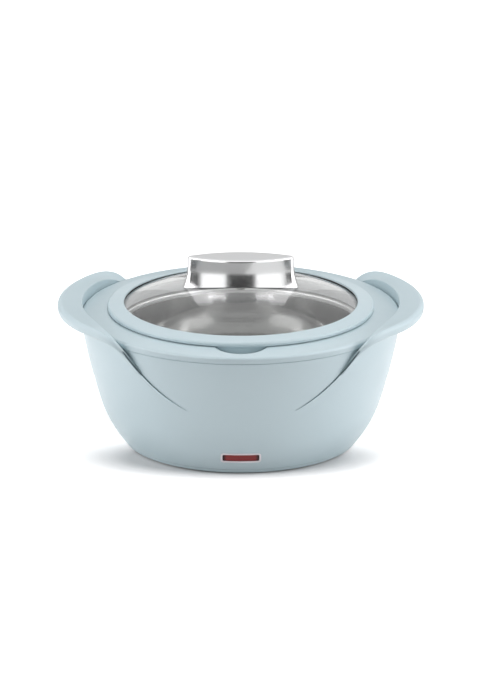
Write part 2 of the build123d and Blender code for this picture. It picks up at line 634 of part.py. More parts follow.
def base_cover():
    """Closing plate under the body: its edge carries the wall's line down to the table."""
    plug_r = body_radius(shell_bottom) - WALL_THICKNESS - FIT
    plug_top = plate_top + PLUG_HEIGHT
    rim = (body_radius(cover_top), cover_top)
    low = (body_radius(STAND_HEIGHT + COVER_EDGE_RADIUS), STAND_HEIGHT + COVER_EDGE_RADIUS)
    under = (low[0] - COVER_EDGE_RADIUS, STAND_HEIGHT)
    edges = [Line((0, STAND_HEIGHT), under), quarter(under, (low[0], STAND_HEIGHT), low), Line(low, rim)]
    edges += Polyline(rim, (plug_r, cover_top), (plug_r, plug_top), (plug_r - PLUG_THICKNESS, plug_top),
                      (plug_r - PLUG_THICKNESS, plate_top), (0, plate_top), (0, STAND_HEIGHT)).edges()
    cover = turned(*edges)
    for angle in BOSS_ANGLES:
        cover -= polar(boss_circle, angle) * rod(BASE_SCREW_RADIUS + FIT, 0, plate_top + TOUCH)
        cover -= polar(boss_circle, angle) * rod(BASE_HEAD_RADIUS + FIT, 0, STAND_HEIGHT + BASE_HEAD_HEIGHT)
    for angle in FOOT_ANGLES.values():
        cover -= polar(foot_circle, angle) * rod(FOOT_RADIUS + FIT, 0, STAND_HEIGHT + FOOT_SINK_DEPTH)
        cover -= polar(foot_circle, angle) * rod(FOOT_STEM_RADIUS + TOUCH, 0, plate_top + TOUCH)
    return cover


def base_screws():
    bottom = STAND_HEIGHT + TOUCH
    screw = rod(BASE_HEAD_RADIUS, bottom, STAND_HEIGHT + BASE_HEAD_HEIGHT - TOUCH)
    screw += rod(BASE_SCREW_RADIUS, bottom, plate_top + BASE_SCREW_LENGTH - TOUCH)
    return [polar(boss_circle, angle) * screw for angle in BOSS_ANGLES]


def foot():
    """Rubber foot with a barbed stem that is pushed through the cover."""
    pad_top = STAND_HEIGHT + FOOT_SINK_DEPTH - TOUCH
    pad = rod(FOOT_RADIUS, 0, pad_top)
    pad = fillet(pad.edges().group_by(Axis.Z)[0], FOOT_EDGE_RADIUS)
    barb_low = plate_top + TOUCH
    barb_high = barb_low + FOOT_BARB_HEIGHT
    barb = turned_polygon((0, barb_low), (FOOT_BARB_RADIUS, barb_low), (FOOT_STEM_RADIUS, barb_high),
                          (0, barb_high))
    return pad + rod(FOOT_STEM_RADIUS, pad_top, barb_high) + barb


def heater_disc():
    """Mica heater: a flat ring with two terminal tabs that point down."""
    disc = rod(heater_radius, heater_bottom, heater_top) - rod(HEATER_HOLE_RADIUS, 0, BIG)
    for place in stud_places():
        disc -= place * rod(STUD_RADIUS + FIT, 0, BIG)
    tab = Box(TAB_THICKNESS, TAB_WIDTH, TAB_LENGTH + TAB_THICKNESS)
    tab_z = heater_bottom + (TAB_THICKNESS - TAB_LENGTH) / 2
    return disc + Pos(tab_circle, 0, tab_z) * tab + Pos(-tab_circle, 0, tab_z) * tab


def heater_clamp():
    """Pressed plate that holds the heater against the bowl, stiffened by a round bead."""
    outer = heater_radius - CLAMP_INSET
    bead_in = bead_radius - BEAD_HEIGHT
    bead_out = bead_radius + BEAD_HEIGHT
    bead_low = clamp_bottom - BEAD_HEIGHT
    bead_top = bead_low + CLAMP_THICKNESS
    side_in = bead_in - CLAMP_THICKNESS
    side_out = bead_out + CLAMP_THICKNESS
    plate = turned_polygon((HEATER_HOLE_RADIUS, clamp_top), (side_in, clamp_top), (bead_in, bead_top),
                           (bead_out, bead_top), (side_out, clamp_top), (outer, clamp_top),
                           (outer, clamp_bottom), (side_out + CLAMP_THICKNESS, clamp_bottom),
                           (side_out, bead_low), (side_in, bead_low),
                           (side_in - CLAMP_THICKNESS, clamp_bottom), (HEATER_HOLE_RADIUS, clamp_bottom))
    for place in stud_places():
        plate -= place * rod(STUD_RADIUS + FIT, 0, BIG)
    slot = Box(TAB_THICKNESS + 2 * TAB_GAP, TAB_WIDTH + 2 * TAB_GAP, TAB_LENGTH)
    return plate - Pos(tab_circle, 0, clamp_top) * slot - Pos(-tab_circle, 0, clamp_top) * slot


def clamp_nuts():
    hexagon = RegularPolygon(NUT_WIDTH / 2, NUT_SIDES, major_radius=False) - Circle(STUD_RADIUS + SCREW_PLAY)
    nut = extrude(Plane.XY.offset(ear_top - NUT_HEIGHT) * hexagon, NUT_HEIGHT)
    return [place * nut for place in stud_places()]


def thermostat():
    """Snap-disc thermostat: its cap touches the bowl through the heater, its ears lie on the clamp."""
    bottom = ear_top - THERMOSTAT_HEIGHT
    body = rod(THERMOSTAT_RADIUS, bottom, heater_top)
    ears = rod(THERMOSTAT_EAR_RADIUS, ear_top - CLAMP_THICKNESS, ear_top)
    blade = Box(TAB_WIDTH, TAB_THICKNESS, TAB_WIDTH)
    blade_z = bottom + TAB_THICKNESS - TAB_WIDTH / 2
    blade_y = THERMOSTAT_RADIUS / 2
    return body + ears + Pos(0, blade_y, blade_z) * blade + Pos(0, -blade_y, blade_z) * blade


def thermal_fuse():
    """Axial thermal fuse that lies against the clamp's bead."""
    body = Rot(0, 90, 0) * Cylinder(FUSE_RADIUS, FUSE_LENGTH)
    leads = Rot(0, 90, 0) * Cylinder(FUSE_LEAD_RADIUS, FUSE_LENGTH + 2 * FUSE_LEAD_LENGTH)
    return Pos(0, fuse_y, fuse_z) * (body + leads)


def lens_bezel():
    """Frame round the window, pressed into a rebate of the wall."""
    frame = lens_bar(2 * BEZEL_WIDTH) - lens_bar(0)
    frame &= body_core(shell_bottom, belly_z, -BEZEL_PROUD_DEPTH)
    return frame - body_core(shell_bottom - SEAM, belly_z + SEAM, BEZEL_SINK_DEPTH - TOUCH)


def indicator_lens():
    """Red window: a curved bar that fills the slot, with a flange behind the wall."""
    low = lens_z - LENS_HEIGHT
    high = lens_z + LENS_HEIGHT
    front = -BIG / 2
    bar = rounded_bar(LENS_WIDTH - FIT, LENS_HEIGHT - FIT, LENS_CORNER_RADIUS, front, 0, lens_z)
    flange = rounded_bar(LENS_WIDTH + 2 * LENS_LAP_WIDTH, LENS_HEIGHT + 2 * LENS_LAP_WIDTH,
                         LENS_CORNER_RADIUS, front, 0, lens_z)
    lens = bar & body_core(low, high, LENS_SINK_DEPTH)
    lens += flange & body_core(low, high, WALL_THICKNESS + FIT)
    return lens - body_core(low - SEAM, high + SEAM, WALL_THICKNESS + FIT + LENS_FLANGE_THICKNESS)


# The nearest point of the lens's back, at its lower corners, and the lamp and its holder behind it
lens_back_r = body_radius(lens_z - LENS_HEIGHT / 2 - LENS_LAP_WIDTH)
lens_back_r -= WALL_THICKNESS + FIT + LENS_FLANGE_THICKNESS
lens_back_y = -sqrt(lens_back_r ** 2 - (LENS_WIDTH / 2 + LENS_LAP_WIDTH) ** 2)
lamp_y = lens_back_y + LAMP_GAP
holder_front = lens_back_y + FIT
holder_back = holder_front + HOLDER_DEPTH


def lamp_holder():
    """Trough behind the lens that holds the lamp and shields its light."""
    width = LENS_WIDTH + 2 * LENS_LAP_WIDTH
    height = LENS_HEIGHT + 2 * LENS_LAP_WIDTH
    trough = rounded_bar(width, height, LENS_CORNER_RADIUS, holder_front, holder_back, lens_z)
    inside = rounded_bar(width - 2 * HOLDER_THICKNESS, height - 2 * HOLDER_THICKNESS, LENS_CORNER_RADIUS / 2,
                         holder_front - HOLDER_THICKNESS, holder_back - HOLDER_THICKNESS, lens_z)
    shelf_low = lens_z - height / 2 + HOLDER_THICKNESS / 2
    shelf_high = lens_z - LAMP_RADIUS / 2
    shelf = Pos(0, lamp_y, (shelf_low + shelf_high) / 2)
    shelf *= Box(LAMP_LENGTH / 2, 2 * LAMP_RADIUS, shelf_high - shelf_low)
    cradle = Pos(0, lamp_y, lens_z) * Rot(0, 90, 0) * Cylinder(LAMP_RADIUS + TOUCH, LAMP_LENGTH)
    holder = trough - inside + (shelf - cradle)
    hole = Rot(90, 0, 0) * Cylinder(WIRE_RADIUS + FIT, 2 * HOLDER_THICKNESS)
    for side in (-1, 1):
        holder -= Pos(side * LAMP_LEAD_SPACING / 2, holder_back, lens_z) * hole
    return holder


def indicator_lamp():
    """Neon lamp: a glass capsule with rounded ends."""
    lamp = Rot(0, 90, 0) * Cylinder(LAMP_RADIUS, LAMP_LENGTH)
    return Pos(0, lamp_y, lens_z) * fillet(lamp.edges(), LAMP_END_RADIUS)


def power_inlet():
    """Snap-in mains inlet with an oval socket."""
    flange = rounded_bar(POCKET_WIDTH - 2 * FIT, POCKET_HEIGHT - 2 * FIT, POCKET_CORNER_RADIUS - FIT,
                         inlet_face + TOUCH, inlet_mouth, inlet_z)
    body = rounded_bar(INLET_WIDTH, INLET_HEIGHT, INLET_CORNER_RADIUS, inlet_rear,
                       inlet_face + INLET_FLANGE_THICKNESS / 2, inlet_z)
    latch_y = inlet_face - PAD_THICKNESS - FIT
    side = INLET_WIDTH / 2
    latch_end = latch_y - LATCH_LENGTH
    outline = Polyline((side - LATCH_WIDTH, latch_y), (side + LATCH_WIDTH, latch_y), (side, latch_end),
                       (side - LATCH_WIDTH, latch_end), close=True)
    latch = extrude(Plane.XY.offset(inlet_z - LATCH_HEIGHT / 2) * make_face(outline), LATCH_HEIGHT)
    inlet = flange + body + latch + mirror(latch, Plane.YZ)
    socket = Plane.XZ.offset(-inlet_mouth) * Pos(0, inlet_z) * SlotOverall(SOCKET_WIDTH, SOCKET_HEIGHT)
    inlet -= extrude(socket, SOCKET_DEPTH)
    bore = Rot(90, 0, 0) * Cylinder(PIN_RADIUS + PIN_PLAY, BIG)
    for x in (-PIN_SPACING / 2, PIN_SPACING / 2):
        inlet -= Pos(x, 0, inlet_z) * bore
    return inlet


def inlet_pins():
    low = inlet_rear - PIN_TAIL_LENGTH
    high = inlet_mouth - SOCKET_DEPTH + PIN_LENGTH
    pin = Rot(90, 0, 0) * Cylinder(PIN_RADIUS, high - low)
    pin = fillet(pin.edges().group_by(Axis.Y)[-1], PIN_TIP_RADIUS)
    return [Pos(x, (low + high) / 2, inlet_z) * pin for x in (-PIN_SPACING / 2, PIN_SPACING / 2)]


def wire(*points):
    """Insulated wire through a few points, with rounded bends."""
    path = FilletPolyline(*points, radius=WIRE_BEND_RADIUS)
    return sweep(Plane(path @ 0, z_dir=path % 0) * Circle(WIRE_RADIUS), path)


def pin_tail(side):
    """Point behind an inlet pin where a wire starts."""
    return (side * PIN_SPACING / 2, inlet_rear - PIN_TAIL_LENGTH - WIRE_GAP, inlet_z)


def tab_end(side, y_side):
    """Point beside a heater tab where a wire's crimp ends."""
    return (side * tab_circle, y_side * (TAB_WIDTH / 2 + WIRE_GAP), heater_bottom - TAB_LENGTH + WIRE_RADIUS)


def thermostat_blade(side):
    """Point at the outer side of a thermostat blade."""
    out = (THERMOSTAT_RADIUS + TAB_THICKNESS) / 2 + WIRE_GAP
    return (0, side * out, ear_top - THERMOSTAT_HEIGHT - TAB_WIDTH / 2)


def fuse_end(side):
    """Point beyond a fuse lead."""
    return (side * (FUSE_LENGTH / 2 + FUSE_LEAD_LENGTH + WIRE_GAP), fuse_y, fuse_z)


def live_wire():
    """From the inlet to the thermal fuse."""
    start = pin_tail(1)
    end = fuse_end(1)
    return wire(start, (start[0], start[1] - WIRE_LEAD_LENGTH, start[2]),
                (end[0] + WIRE_LEAD_LENGTH, fuse_y + WIRE_BEND_RADIUS, fuse_z),
                (end[0] + WIRE_BEND_RADIUS, fuse_y, fuse_z), end)


def neutral_wire():
    """From the inlet to the left-hand heater tab."""
    start = pin_tail(-1)
    end = tab_end(-1, 1)
    return wire(start, (start[0], start[1] - WIRE_LEAD_LENGTH, start[2]),
                (end[0], end[1] + WIRE_RUN_LENGTH, end[2]), end)


def fuse_link():
    """From the thermal fuse to the thermostat."""
    start = fuse_end(-1)
    end = thermostat_blade(1)
    side = start[0] - WIRE_LOOP_LENGTH
    near = end[1] + WIRE_LOOP_LENGTH
    return wire(start, (side, fuse_y, fuse_z), (side, near, end[2]), (0, near, end[2]), end)


def heater_link():
    """From the thermostat to the right-hand heater tab."""
    start = thermostat_blade(-1)
    end = tab_end(1, -1)
    return wire(start, (0, start[1] - WIRE_LOOP_LENGTH, start[2]),
                (end[0], end[1] - WIRE_LEAD_LENGTH, end[2]), end)


def lamp_leads():
    """Two leads from the heater tabs to the lamp."""
    leads = []
    back = holder_back - HOLDER_THICKNESS
    for side in (-1, 1):
        start = (side * (tab_circle + TAB_THICKNESS / 2 + WIRE_GAP + WIRE_RADIUS), 0,
                 heater_bottom - TAB_LENGTH - WIRE_RADIUS)
        end = (side * LAMP_LEAD_SPACING / 2, lamp_y + LAMP_RADIUS + WIRE_GAP, lens_z)
        leads.append(wire(start, (start[0], back + WIRE_FAN_LENGTH, start[2]),
                          (end[0], back + WIRE_LEAD_LENGTH, lens_z), end))
    return leads


def dome_z(radius, extra=0.0):
    """Height of the glass's outside, or of the surface a distance extra outside it."""
    return dome_center_z + sqrt((dome_radius + extra) ** 2 - radius ** 2)


def dome_arc(start_r, end_r, extra=0.0):
    """Profile arc on the dome, or on a concentric one, between two radii."""
    radii = (start_r, (start_r + end_r) / 2, end_r)
    return ThreePointArc(*[(radius, dome_z(radius, extra)) for radius in radii])


def joined(*curves):
    """Turned solid from a ring of profile curves, with straight lines across the gaps between them."""
    edges = []
    for curve, following in zip(curves, curves[1:] + curves[:1]):
        edges.append(curve)
        if (following @ 0 - curve @ 1).length > TOUCH / 2:
            edges.append(Line(curve @ 1, following @ 0))
    return turned(*edges)


def lid_ring():
    """Plastic ring round the glass: a sloping top with a lip, and a skirt that drops into the recess."""
    edge_r = lid_radius - LID_EDGE_RADIUS
    edge_z = lid_outer_z - LID_EDGE_RADIUS
    lip_gap = GASKET_LEG_THICKNESS + TOUCH
    lip_top = (lip_radius + LIP_EDGE_RADIUS, lid_inner_z)
    lip = quarter((lip_radius, lid_inner_z - LIP_EDGE_RADIUS), (lip_radius, lid_inner_z), lip_top)
    top = Line(lip_top, (edge_r, lid_outer_z))
    edge = quarter((edge_r, lid_outer_z), (lid_radius, lid_outer_z), (lid_radius, edge_z))
    outside = Polyline((lid_radius, edge_z), (lid_radius, lid_bottom), (skirt_radius, lid_bottom),
                       (skirt_radius, skirt_bottom), (channel_radius, skirt_bottom),
                       (channel_radius, dome_z(channel_radius, lip_gap)))
    return joined(lip, top, edge, outside, dome_arc(channel_radius, lip_radius, lip_gap))


def lid_glass():
    """Domed glass with a hole for the knob's screw."""
    return joined(dome_arc(GLASS_HOLE_RADIUS, glass_radius),
                  dome_arc(glass_radius, GLASS_HOLE_RADIUS, -GLASS_THICKNESS))


def glass_gasket():
    """Rubber channel round the glass's edge."""
    top_r = lip_radius + FIT
    side_r = glass_radius + TOUCH
    over_glass = TOUCH / 2
    return joined(dome_arc(top_r, gasket_outer, over_glass + GASKET_LEG_THICKNESS),
                  dome_arc(gasket_outer, gasket_inner, under_glass - GASKET_LEG_THICKNESS),
                  dome_arc(gasket_inner, side_r, under_glass), dome_arc(side_r, top_r, over_glass))


def lid_retainer():
    """Inner ring, pushed into the lid ring's skirt, that holds the glass from below."""
    outer = gasket_outer - FIT
    top = dome_arc(gasket_inner, outer, under_glass - GASKET_LEG_THICKNESS - TOUCH)
    return joined(top, Line((outer, skirt_bottom), (gasket_inner, skirt_bottom)))


def lid_seal():
    """Rubber lip that closes the lid against the bowl's flange."""
    inner = gasket_inner + FIT
    outer = skirt_radius - FIT
    middle = (seal_bottom + seal_top) / 2
    return turned_polygon((inner, middle), (inner, seal_top), (outer, seal_top), (outer, middle),
                          (outer - SKIRT_THICKNESS, seal_bottom), (inner + SKIRT_THICKNESS, seal_bottom))


def knob_outline(z, inset):
    """Boat-shaped outline of the knob at height z: two long arcs joined by round noses."""
    share = (knob_top - z) / (knob_top - knob_foot)
    grow = KNOB_FLARE_WIDTH * share ** KNOB_FLARE_POWER - inset
    length = KNOB_HALF_LENGTH + grow
    depth = KNOB_HALF_DEPTH + grow
    nose = KNOB_NOSE_RADIUS + grow
    center = length - nose
    arc = (center ** 2 + depth ** 2 - nose ** 2) / (2 * (depth - nose))
    touch_x = center + nose * center / (arc - nose)
    touch_y = nose * (arc - depth) / (arc - nose)
    edges = []
    for side in (1, -1):
        x = side * touch_x
        y = side * touch_y
        edges.append(ThreePointArc((x, -y), (side * length, 0), (x, y)))
        edges.append(ThreePointArc((x, y), (0, side * depth), (-x, y)))
    return Plane.XY.offset(z) * make_face(edges)


def knob_body(low, high, inset=0.0):
    """Flared solid of the knob between two heights."""
    step = (high - low) / (KNOB_SECTIONS - 1)
    return loft([knob_outline(low + step * number, inset) for number in range(KNOB_SECTIONS)])


def dome_ball(extra):
    return Pos(0, 0, dome_center_z) * Sphere(dome_radius + extra)


def knob_shell():
    """Chromed cap, hollow and open towards the glass."""
    cap = knob_body(knob_foot, knob_top)
    cap = fillet(cap.faces().sort_by(Axis.Z)[-1].edges(), KNOB_EDGE_RADIUS)
    cap -= knob_body(knob_foot - KNOB_THICKNESS, knob_top - KNOB_THICKNESS, KNOB_THICKNESS)
    return cap - dome_ball(KNOB_GAP)


def knob_insert():
    """Plastic core of the knob, with the boss that takes the screw."""
    core = knob_body(knob_foot, crown_z + INSERT_HEIGHT, KNOB_THICKNESS + TOUCH)
    core += rod(INSERT_BOSS_RADIUS, knob_foot, boss_end)
    core -= rod(SCREW_RADIUS + SCREW_PLAY, 0, screw_tip + TOUCH)
    return core - dome_ball(KNOB_GAP)


# Washers and screw head under the glass
soft_washer_top = dome_z(WASHER_RADIUS, -GLASS_THICKNESS) - TOUCH
steel_washer_top = soft_washer_top - WASHER_THICKNESS - TOUCH
screw_head_top = steel_washer_top - WASHER_THICKNESS - TOUCH


def washer(top):
    return rod(WASHER_RADIUS, top - WASHER_THICKNESS, top) - rod(SCREW_RADIUS + SCREW_PLAY, 0, BIG)


def knob_screw():
    """Screw from below, through washers and glass into the knob."""
    head = rod(SCREW_HEAD_RADIUS, screw_head_top - SCREW_HEAD_HEIGHT, screw_head_top)
    head = fillet(head.edges().group_by(Axis.Z)[0], SCREW_HEAD_HEIGHT / 2)
    return head + rod(SCREW_RADIUS, screw_head_top - TOUCH, screw_tip)


pieces = {
    "outer_shell": outer_shell(),
    "rim_collar": rim_collar(),
    "steel_bowl": steel_bowl(),
    "bowl_gasket": bowl_gasket(),
    "insulation_jacket": insulation_jacket(),
    "base_cover": base_cover(),
    "base_screws": base_screws(),
    "heater_disc": heater_disc(),
    "heater_clamp": heater_clamp(),
    "clamp_nuts": clamp_nuts(),
    "thermostat": thermostat(),
    "thermal_fuse": thermal_fuse(),
    "indicator_lens": indicator_lens(),
    "lens_bezel": lens_bezel(),
    "indicator_lamp": indicator_lamp(),
    "lamp_holder": lamp_holder(),
    "power_inlet": power_inlet(),
    "inlet_pins": inlet_pins(),
    "live_wire": live_wire(),
    "neutral_wire": neutral_wire(),
    "fuse_link": fuse_link(),
    "heater_link": heater_link(),
    "lamp_leads": lamp_leads(),
    "lid_ring": lid_ring(),
    "lid_glass": lid_glass(),
    "glass_gasket": glass_gasket(),
    "lid_retainer": lid_retainer(),
    "lid_seal": lid_seal(),
    "knob_shell": knob_shell(),
    "knob_insert": knob_insert(),
    "knob_screw": knob_screw(),
    "soft_washer": washer(soft_washer_top),
    "steel_washer": washer(steel_washer_top),
}
for name, angle in FOOT_ANGLES.items():
    pieces[name] = polar(foot_circle, angle) * foot()

os.makedirs("parts", exist_ok=True)
for name, piece in pieces.items():
    if isinstance(piece, list):
        piece = Compound(children=piece)
    export_step(piece, f"parts/{name}.step")
    print(f"{name}: {piece.volume / 1000:.1f} cm3")
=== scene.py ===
# %% [markdown]
# # An electric casserole, dressed in Blender
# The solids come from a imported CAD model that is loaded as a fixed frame, in metres and with +Z up.
# This lesson gives every solid a finish, adds the small pieces that a solid modeller leaves out,
# and sets up the camera, the light and the floor of a plain product photograph.

# %% Load the frame
import math
import bpy
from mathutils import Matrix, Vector


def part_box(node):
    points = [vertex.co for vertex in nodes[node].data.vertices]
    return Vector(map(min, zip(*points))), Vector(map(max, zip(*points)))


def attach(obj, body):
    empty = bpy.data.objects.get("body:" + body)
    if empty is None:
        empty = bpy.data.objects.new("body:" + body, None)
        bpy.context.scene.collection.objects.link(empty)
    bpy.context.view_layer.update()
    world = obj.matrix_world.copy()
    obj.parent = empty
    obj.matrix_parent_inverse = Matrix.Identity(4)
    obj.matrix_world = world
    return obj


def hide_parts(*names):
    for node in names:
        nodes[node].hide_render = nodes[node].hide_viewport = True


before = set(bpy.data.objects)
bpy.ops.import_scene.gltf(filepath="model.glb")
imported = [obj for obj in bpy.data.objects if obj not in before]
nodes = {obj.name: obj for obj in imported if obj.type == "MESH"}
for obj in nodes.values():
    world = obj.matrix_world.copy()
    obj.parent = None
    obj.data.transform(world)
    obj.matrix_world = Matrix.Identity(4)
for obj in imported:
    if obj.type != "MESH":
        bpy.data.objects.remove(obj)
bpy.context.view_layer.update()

scene = bpy.context.scene

# %% [markdown]
# ## Camera
# The photograph is taken from the front, a little above the lid, with a long lens: circles look like
# clean ellipses and upright edges stay upright. A camera five metres away with a long focal length
# gives the same flat view. Its aim point is the spot of the object that lies in the picture's middle.

# %% Camera
AIM = Vector((-0.0020, 0.0, 0.0866))
VIEW_HEIGHT = math.radians(17.6)
VIEW_DISTANCE = 5.0
LENS = 309.5

away = Vector((0.0, -math.cos(VIEW_HEIGHT), math.sin(VIEW_HEIGHT)))
camera_data = bpy.data.cameras.new("photo_camera")
camera_data.lens = LENS
camera_data.clip_end = 100.0
camera = bpy.data.objects.new("photo_camera", camera_data)
scene.collection.objects.link(camera)
camera.location = AIM + away * VIEW_DISTANCE
camera.rotation_euler = (-away).to_track_quat("-Z", "Y").to_euler()
scene.camera = camera
print("camera at", tuple(round(v, 3) for v in camera.location))

# %% [markdown]
# ## Light
# The photograph looks as if two large soft boxes stood at the sides: both sides are bright, and the
# middle of the front is a little darker. Area lamps make the boxes. Two low ones light the lower body
# and a top one the rim. These are hidden from gloss, because more mirror images would be too much
# glare. Two weak strips in front do the reverse: they show only as reflections, mainly in the bowl.

# %% Lamps
LAMP_TINT = (1.0, 0.975, 0.99)
BOX_SIZE = (2.8, 2.8)
BOX_PLACES = {"left": (-2.15, -0.4, 1.1), "right": (2.15, -0.4, 1.1)}
BOX_POWER = 37.0
LOW_SIZE = (2.8, 1.2)
LOW_PLACES = {"left": (-2.3, -0.45, 0.55), "right": (2.3, -0.45, 0.55)}
LOW_POWER = 24.0
TOP_SIZE = (1.0, 1.0)
TOP_PLACE = (0.35, 0.3, 2.4)
TOP_POWER = 31.0
STRIP_SIZE = (0.8, 0.4)
STRIP_PLACES = {"left": (-0.95, -1.3, 1.9), "right": (0.95, -1.3, 1.9)}
STRIP_POWER = 3.0


def soft_box(name, place, size, power, unseen=()):
    """Area lamp that points at the object: its width and height, and the kinds of rays that miss it."""
    lamp = bpy.data.lights.new(name, "AREA")
    lamp.shape = "RECTANGLE"
    lamp.size, lamp.size_y = size
    lamp.energy = power
    lamp.color = LAMP_TINT
    holder = bpy.data.objects.new(name, lamp)
    scene.collection.objects.link(holder)
    holder.location = place
    holder.rotation_euler = (AIM - Vector(place)).to_track_quat("-Z", "Y").to_euler()
    for kind in unseen:
        setattr(holder, f"visible_{kind}", False)


for side, place in BOX_PLACES.items():
    soft_box(f"soft_box_{side}", place, BOX_SIZE, BOX_POWER)
for side, place in LOW_PLACES.items():
    soft_box(f"low_box_{side}", place, LOW_SIZE, LOW_POWER, ("glossy",))
soft_box("soft_box_top", TOP_PLACE, TOP_SIZE, TOP_POWER, ("glossy", "transmission"))
for side, place in STRIP_PLACES.items():
    soft_box(f"strip_{side}", place, STRIP_SIZE, STRIP_POWER, ("diffuse",))

# %% [markdown]
# ## Surround
# The photograph's background is pure white. The world is white where the camera, a mirror or the
# glass looks at it, and a weak grey fill for everything else, so it adds little light to the object.

# %% World
WHITE = (1.0, 1.0, 1.0, 1.0)
SEEN_STRENGTH = 1.0
FILL_STRENGTH = 0.1


def seen_rays(node_tree):
    """1 for rays that the camera sends out itself, by a mirror or through glass, and 0 for all others."""
    path = node_tree.nodes.new("ShaderNodeLightPath")
    total = path.outputs["Is Camera Ray"]
    for kind in ("Is Glossy Ray", "Is Transmission Ray"):
        either = node_tree.nodes.new("ShaderNodeMath")
        either.operation = "MAXIMUM"
        node_tree.links.new(total, either.inputs[0])
        node_tree.links.new(path.outputs[kind], either.inputs[1])
        total = either.outputs[0]
    return total


world = bpy.data.worlds.new("white_surround")
scene.world = world
world.use_nodes = True
links = world.node_tree.links
sky = world.node_tree.nodes["Background"]
sky.inputs["Color"].default_value = WHITE
level = world.node_tree.nodes.new("ShaderNodeMapRange")
level.inputs["To Min"].default_value = FILL_STRENGTH
level.inputs["To Max"].default_value = SEEN_STRENGTH
links.new(seen_rays(world.node_tree), level.inputs["Value"])
links.new(level.outputs["Result"], sky.inputs["Strength"])
scene.view_settings.view_transform = "Standard"
print("world:", world.name)

# %% [markdown]
# ## Finishes
# A finish is a node material. All patterns are worked out from the object's own coordinates, in
# metres, so they stay put when the lid is lifted. Each finish starts from the same helper: a
# Principled shader, a coordinate node and a way to add noise for colour, gloss and fine bumps.

# %% Helpers for finishes


class Finish:
    """A node material with a Principled shader and a few shorthands for its patterns."""

    def __init__(self, name, color, roughness, metallic=0.0):
        self.material = bpy.data.materials.new(name)
        self.material.use_nodes = True
        self.tree = self.material.node_tree
        self.shader = self.tree.nodes["Principled BSDF"]
        self.shader.inputs["Base Color"].default_value = (*color, 1.0)
        self.shader.inputs["Roughness"].default_value = roughness
        self.shader.inputs["Metallic"].default_value = metallic
        self.coords = self.node("ShaderNodeTexCoord").outputs["Object"]

    def node(self, kind, **settings):
        made = self.tree.nodes.new(kind)
        for key, value in settings.items():
            setattr(made, key, value)
        return made

    def join(self, source, target):
        self.tree.links.new(source, target)
        return target

    def noise(self, scale, detail=3.0, stretch=None, source=None):
        """Noise of 0 to 1 on object coordinates, stretched along axes if wanted."""
        made = self.node("ShaderNodeTexNoise")
        made.inputs["Scale"].default_value = scale
        made.inputs["Detail"].default_value = detail
        start = source or self.coords
        if stretch:
            mapping = self.node("ShaderNodeMapping")
            mapping.inputs["Scale"].default_value = stretch
            self.join(start, mapping.inputs["Vector"])
            start = mapping.outputs["Vector"]
        self.join(start, made.inputs["Vector"])
        return made.outputs["Fac"]

    def spread(self, value, low, high, from_low=0.3, from_high=0.7):
        """A value mapped to a range."""
        made = self.node("ShaderNodeMapRange")
        made.inputs["From Min"].default_value = from_low
        made.inputs["From Max"].default_value = from_high
        made.inputs["To Min"].default_value = low
        made.inputs["To Max"].default_value = high
        self.join(value, made.inputs["Value"])
        return made.outputs["Result"]

    def tones(self, value, first, second):
        """Colour between two tones."""
        made = self.node("ShaderNodeMix", data_type="RGBA")
        colors = [socket for socket in made.inputs if socket.type == "RGBA"]
        colors[0].default_value = (*first, 1.0)
        colors[1].default_value = (*second, 1.0)
        self.join(value, made.inputs["Factor"])
        return [socket for socket in made.outputs if socket.type == "RGBA"][0]

    def bumps(self, value, strength, depth):
        """Fine relief from a value; depth in metres."""
        made = self.node("ShaderNodeBump")
        made.inputs["Strength"].default_value = strength
        made.inputs["Distance"].default_value = depth
        self.join(value, made.inputs["Height"])
        self.join(made.outputs["Normal"], self.shader.inputs["Normal"])

    def paint(self, first, second, value):
        self.join(self.tones(value, first, second), self.shader.inputs["Base Color"])

    def gloss(self, value, low, high):
        self.join(self.spread(value, low, high), self.shader.inputs["Roughness"])

    def round_coords(self):
        """Turns object coordinates into angle, radius and height round the Z axis."""
        split = self.node("ShaderNodeSeparateXYZ")
        self.join(self.coords, split.inputs[0])
        turn = self.node("ShaderNodeMath", operation="ARCTAN2")
        self.join(split.outputs["Y"], turn.inputs[0])
        self.join(split.outputs["X"], turn.inputs[1])
        flat = self.node("ShaderNodeCombineXYZ")
        self.join(split.outputs["X"], flat.inputs["X"])
        self.join(split.outputs["Y"], flat.inputs["Y"])
        radius = self.node("ShaderNodeVectorMath", operation="LENGTH")
        self.join(flat.outputs[0], radius.inputs[0])
        made = self.node("ShaderNodeCombineXYZ")
        self.join(turn.outputs[0], made.inputs["X"])
        self.join(radius.outputs["Value"], made.inputs["Y"])
        self.join(split.outputs["Z"], made.inputs["Z"])
        return made.outputs[0]

    def height(self):
        split = self.node("ShaderNodeSeparateXYZ")
        self.join(self.coords, split.inputs[0])
        return split.outputs["Z"]

    def between(self, low, high, value):
        """A plain number between two inputs, each a socket or a constant."""
        made = self.node("ShaderNodeMix", data_type="FLOAT")
        floats = [socket for socket in made.inputs if socket.type == "VALUE"]
        self.join(value, floats[0])
        for socket, source in zip(floats[1:], (low, high)):
            if isinstance(source, float):
                socket.default_value = source
            else:
                self.join(source, socket)
        return made.outputs[0]


def dress(finish, *names):
    """Gives a finish to CAD nodes."""
    for name in names:
        for slot in nodes[name].material_slots:
            slot.material = finish.material
    print(finish.material.name, "->", ", ".join(names))


# %% [markdown]
# ## Pale blue plastic
# The body, the collar and the lid ring are moulded from the same pale blue-grey plastic. It is glossy
# but not a mirror: reflections of the soft boxes are broad and soft. A slow drift of tone and a very
# fine ripple of the surface keep it from looking like a flat colour.

